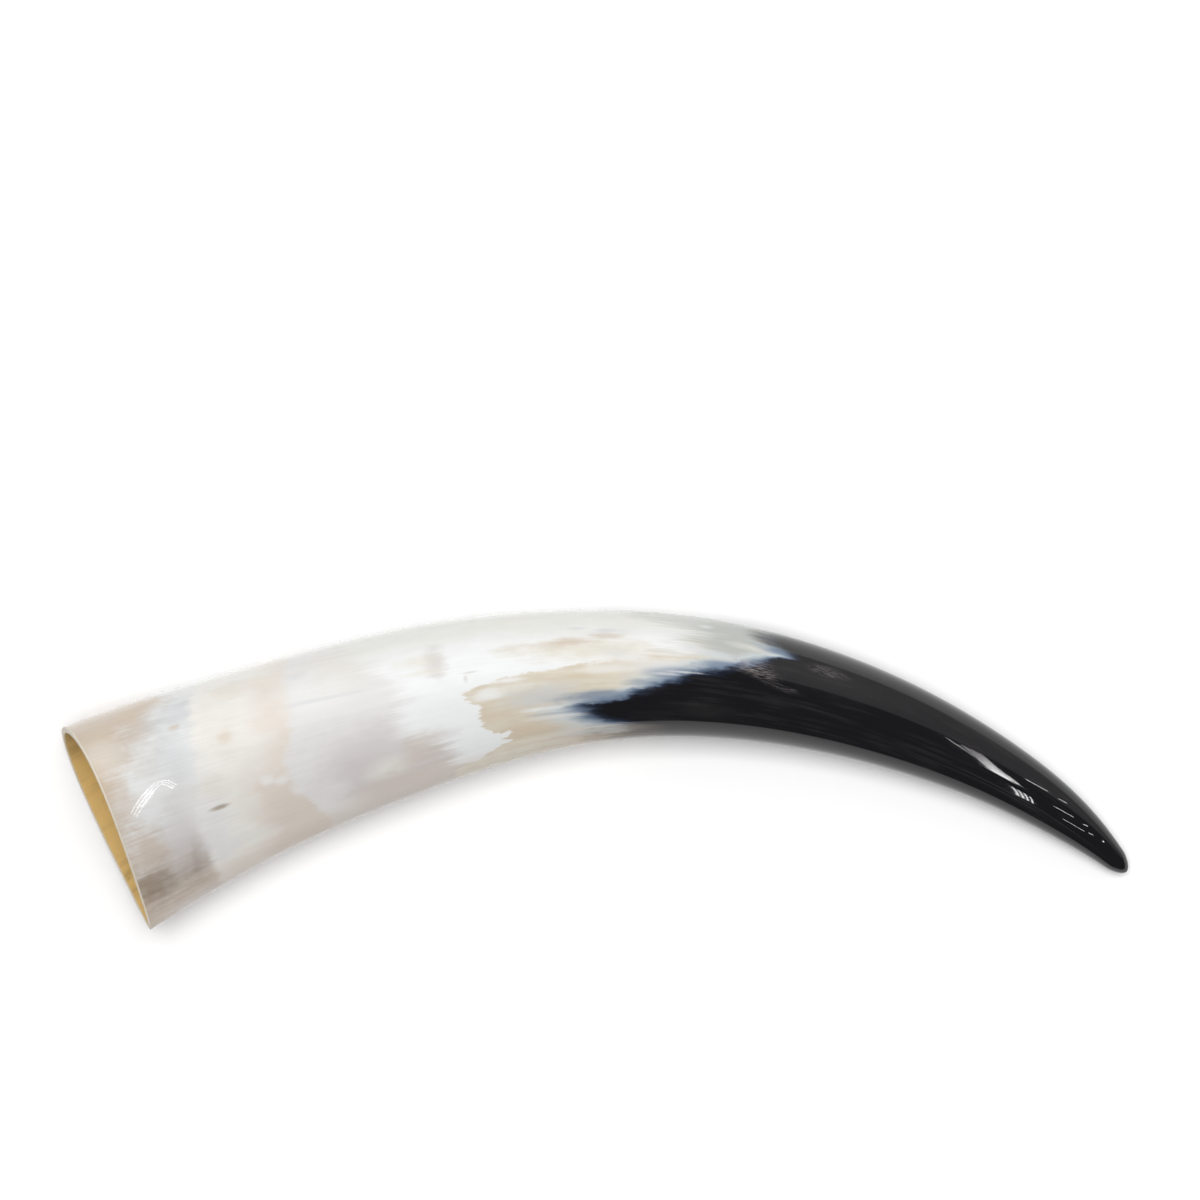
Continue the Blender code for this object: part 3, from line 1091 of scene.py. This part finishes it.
# Heights above the floor of the tubes' groups, in metres
CEILING = 1.9
OVER_POINT = 0.35
OVER_TIP = 0.22
OVER_BASE = 0.13
TUBES = (
    # Four long tubes side by side, a little bent
    Tube(((1.258, 0.253), (1.0755, -0.2666), (0.865, -0.728)), CEILING, 0.004),
    Tube(((1.335, 0.268), (1.0956, -0.2568), (0.878, -0.704)), CEILING, 0.004),
    Tube(((1.384, 0.286), (1.1164, -0.2360), (0.897, -0.675)), CEILING, 0.004),
    Tube(((1.419, 0.288), (1.1372, -0.2146), (0.938, -0.615)), CEILING, 0.004),
    # Short tubes over the point
    Tube(((0.4252, 0.0575), (0.5212, 0.1005)), OVER_POINT, 0.0045, 0.8),
    Tube(((0.5727, 0.1032), (0.6982, 0.1556)), OVER_POINT, 0.0045, 0.8),
    Tube(((0.3552, -0.1195), (0.4606, -0.0859)), OVER_POINT, 0.0045, 0.8),
    Tube(((0.5225, -0.0868), (0.5983, -0.0539)), OVER_POINT, 0.0045, 0.8),
    Tube(((0.3033, -0.2716), (0.4088, -0.2272)), OVER_POINT, 0.0045, 0.8),
    Tube(((0.4584, -0.1918), (0.5055, -0.1683)), OVER_POINT, 0.0045, 0.8),
    Tube(((0.6198, -0.1358), (0.7119, -0.0866)), OVER_POINT, 0.0045, 0.8),
    # Four small tubes low over the tip
    Tube(((0.2151, -0.1317), (0.1868, -0.2204)), OVER_TIP, 0.0012, 0.8),
    Tube(((0.2191, -0.1291), (0.1910, -0.2153)), OVER_TIP, 0.0012, 0.8),
    Tube(((0.2236, -0.1270), (0.1953, -0.2106)), OVER_TIP, 0.0012, 0.8),
    Tube(((0.2269, -0.1299), (0.2002, -0.2068)), OVER_TIP, 0.0012, 0.8),
    # Three thin tubes low over the base, each bent back at its end
    Tube(
        (
            (-0.1301, -0.0894), (-0.1359, -0.0703), (-0.1408, -0.0563),
            (-0.1444, -0.0443), (-0.1456, -0.0347),
        ),
        OVER_BASE, 0.0005, 0.32,
    ),
    Tube(((-0.1456, -0.0347), (-0.1411, -0.0395), (-0.1334, -0.0523)), OVER_BASE, 0.0006, 0.35),
    Tube(
        (
            (-0.1341, -0.0828), (-0.1391, -0.0643), (-0.1433, -0.0508),
            (-0.1466, -0.0394), (-0.1471, -0.0313),
        ),
        OVER_BASE, 0.0005, 0.32,
    ),
    Tube(((-0.1471, -0.0313), (-0.1415, -0.0358), (-0.1333, -0.0488)), OVER_BASE, 0.0006, 0.35),
    Tube(
        (
            (-0.1381, -0.0766), (-0.1422, -0.0585), (-0.1458, -0.0455),
            (-0.1488, -0.0347), (-0.1486, -0.0278),
        ),
        OVER_BASE, 0.0005, 0.32,
    ),
    Tube(((-0.1486, -0.0278), (-0.1419, -0.0320), (-0.1330, -0.0453)), OVER_BASE, 0.0006, 0.35),
)


def add_light(name, place, size, watts, in_reflections):
    """A flat lamp of (width, length) at a place, shining down."""
    lamp = bpy.data.lights.new(name, "AREA")
    lamp.shape = "RECTANGLE"
    lamp.size, lamp.size_y = size
    lamp.energy = watts
    holder = bpy.data.objects.new(name, lamp)
    holder.location = place
    holder.visible_glossy = in_reflections
    bpy.context.scene.collection.objects.link(holder)
    return holder


def add_floor(settings):
    shape = bmesh.new()
    bmesh.ops.create_grid(shape, x_segments=1, y_segments=1, size=FLOOR_SIZE)
    mesh = bpy.data.meshes.new("floor")
    shape.to_mesh(mesh)
    shape.free()
    floor = bpy.data.objects.new("floor", mesh)
    finish = Finish("plain_floor")
    finish.shader.inputs["Base Color"].default_value = (*settings.floor_colour, 1.0)
    finish.shader.inputs["Roughness"].default_value = FLOOR_ROUGHNESS
    finish.shader.inputs["Specular IOR Level"].default_value = FLOOR_SHINE
    mesh.materials.append(finish.material)
    bpy.context.scene.collection.objects.link(floor)


def add_room(settings):
    world = bpy.data.worlds.new("studio_room")
    world.use_nodes = True
    room = NodeMaker(world.node_tree)
    towards = room.node("ShaderNodeTexCoord", {}, {}, "Generated")
    _, back, up = room.apart(towards)
    share = room.rise(back - up * ROOM_EDGE, -ROOM_EDGE_BLUR, ROOM_EDGE_BLUR)
    strength = settings.near_room + share * (settings.far_room - settings.near_room)
    backdrop = world.node_tree.nodes["Background"]
    backdrop.inputs["Color"].default_value = (1.0, 1.0, 1.0, 1.0)
    room.feed(backdrop.inputs["Strength"], strength)
    bpy.context.scene.world = world


def add_tube(name, tube, glow):
    """A lamp tube of straight lengths, shining down, seen only in the polish."""
    bends = [Vector((*bend, tube.height)) for bend in tube.bends]
    for number, (first, last) in enumerate(zip(bends, bends[1:])):
        run = last - first
        watts = glow * tube.glow * math.pi * tube.width * run.length
        size = (tube.width, run.length)
        lamp = add_light(f"{name}_{number}", (first + last) / 2, size, watts, True)
        lamp.rotation_euler.z = math.atan2(run.y, run.x) - math.pi / 2
        lamp.visible_camera = False
        lamp.visible_diffuse = False


def add_lights(settings):
    soft = (SOFT_LIGHT_SIZE, SOFT_LIGHT_SIZE)
    add_light("soft_light", SOFT_LIGHT_PLACE, soft, settings.soft_light, False)
    for number, tube in enumerate(TUBES):
        add_tube(f"tube_{number}", tube, settings.tube_glow)


def add_camera(settings):
    lens = bpy.data.cameras.new("camera")
    lens.sensor_width = SENSOR_WIDTH
    lens.lens = settings.focal_length
    lens.clip_start = NEAREST_SEEN
    lens.clip_end = FARTHEST_SEEN
    camera = bpy.data.objects.new("camera", lens)
    camera.location = (*CAMERA_PLACE, settings.camera_height)
    bpy.context.scene.collection.objects.link(camera)
    bpy.context.scene.camera = camera


class HORN_OT_grow(bpy.types.Operator):
    """Grows the horn and polishes it"""

    bl_idname = "cow_horn.grow"
    bl_label = "Grow Horn"

    def execute(self, context):
        sizes, colours = context.scene.horn_sizes, context.scene.horn_colours
        horn = grow_horn(sizes)
        for finish in (outside_finish, rim_finish, hollow_finish):
            horn.data.materials.append(finish(colours))
        context.scene.collection.objects.link(horn)
        if not horn.data.polygons:
            raise RuntimeError("The horn has no faces")
        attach(horn, "root")
        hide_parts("horn")
        return {"FINISHED"}


class HORN_OT_stage(bpy.types.Operator):
    """Sets up the floor, the lights and the camera"""

    bl_idname = "cow_horn.stage"
    bl_label = "Set Up Studio"

    def execute(self, context):
        settings = context.scene.horn_studio
        add_floor(settings)
        add_room(settings)
        add_lights(settings)
        add_camera(settings)
        context.scene.view_settings.view_transform = "Standard"
        return {"FINISHED"}


class HORN_PT_panel(bpy.types.Panel):
    """Sizes, colours and steps of the horn"""

    bl_idname = "HORN_PT_panel"
    bl_label = "Cow Horn"
    bl_space_type = "VIEW_3D"
    bl_region_type = "UI"
    bl_category = "Cow Horn"

    def draw(self, context):
        layout = self.layout
        scene = context.scene
        for group in (scene.horn_sizes, scene.horn_colours, scene.horn_studio):
            box = layout.box()
            for name in type(group).__annotations__:
                box.prop(group, name)
        for step in STEPS:
            layout.operator(step.bl_idname)


STEPS = (HORN_OT_grow, HORN_OT_stage)
GROUPS = {"horn_sizes": HornSizes, "horn_colours": HornColours, "horn_studio": StudioSettings}
CLASSES = (*GROUPS.values(), *STEPS, HORN_PT_panel)


def register():
    for made in CLASSES:
        bpy.utils.register_class(made)
    for name, group in GROUPS.items():
        setattr(bpy.types.Scene, name, bpy.props.PointerProperty(type=group))


def unregister():
    for name in GROUPS:
        delattr(bpy.types.Scene, name)
    for made in reversed(CLASSES):
        bpy.utils.unregister_class(made)


def main():
    register()
    bpy.ops.cow_horn.grow()
    bpy.ops.cow_horn.stage()


if __name__ == "__main__":
    main()
